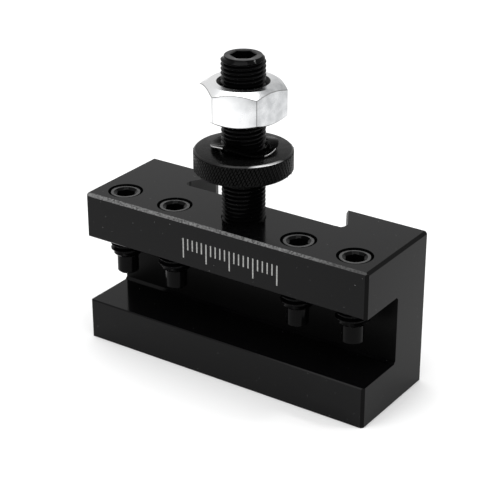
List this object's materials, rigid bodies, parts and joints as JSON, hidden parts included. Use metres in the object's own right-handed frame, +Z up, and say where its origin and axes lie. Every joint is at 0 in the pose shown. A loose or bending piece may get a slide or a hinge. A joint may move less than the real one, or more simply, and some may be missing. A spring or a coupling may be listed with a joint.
{
  "type": "quick change tool holder",
  "caption": "C-shaped steel tool holder block with an open tool slot, rear dovetail groove, dog point clamp screws, and a threaded height stud with knurled nut, wave washer and lock nut.",
  "frame": {"origin": "centre of the bottom face of the block, halfway along its length and its depth", "axes": "+X along the tool slot, to the right when facing the slot; +Y out of the dovetail groove at the back; +Z up along the height stud"},
  "size_m": [0.075, 0.0273, 0.0751],
  "materials": {
    "black_oxide": "satin black oxide on ground steel",
    "black_oxide_gloss": "glossy oiled black oxide on turned steel",
    "spring_steel": "darkened spring steel",
    "zinc_plate": "bright zinc plate"
  },
  "bodies": {
    "holder": {"holder_body": "black_oxide", "height_stud": "black_oxide_gloss"},
    "washer": {"wave_washer": "spring_steel"},
    "thumb_nut": {"thumb_nut": "black_oxide_gloss"},
    "lock_nut": {"lock_nut": "zinc_plate"},
    "clamp_screw_1": {"clamp_screw_1": "black_oxide_gloss"},
    "clamp_screw_2": {"clamp_screw_2": "black_oxide_gloss"},
    "clamp_screw_3": {"clamp_screw_3": "black_oxide_gloss"},
    "clamp_screw_4": {"clamp_screw_4": "black_oxide_gloss"}
  },
  "joints": [
    {"name": "height_travel", "type": "slide", "parent": "holder", "child": "washer", "axis": [0, 0, 1], "range_m": [-0.011, 0.002]},
    {"name": "thumb_nut_spin", "type": "hinge", "parent": "washer", "child": "thumb_nut", "pos_m": [0, -0.00345, 0.05135], "axis": [0, 0, 1], "range_deg": [-3960, 720]},
    {"name": "lock_nut_travel", "type": "slide", "parent": "holder", "child": "lock_nut", "axis": [0, 0, 1], "range_m": [-0.002, 0.005]},
    {"name": "clamp_screw_1_travel", "type": "slide", "parent": "holder", "child": "clamp_screw_1", "axis": [0, 0, 1], "range_m": [-0.0072, 0.009]},
    {"name": "clamp_screw_2_travel", "type": "slide", "parent": "holder", "child": "clamp_screw_2", "axis": [0, 0, 1], "range_m": [-0.0072, 0.009]},
    {"name": "clamp_screw_3_travel", "type": "slide", "parent": "holder", "child": "clamp_screw_3", "axis": [0, 0, 1], "range_m": [-0.0072, 0.009]},
    {"name": "clamp_screw_4_travel", "type": "slide", "parent": "holder", "child": "clamp_screw_4", "axis": [0, 0, 1], "range_m": [-0.0072, 0.009]}
  ],
  "couplings": [
    {"joint": "height_travel", "follows": "thumb_nut_spin", "m_per_rad": 0.00015915}
  ]
}
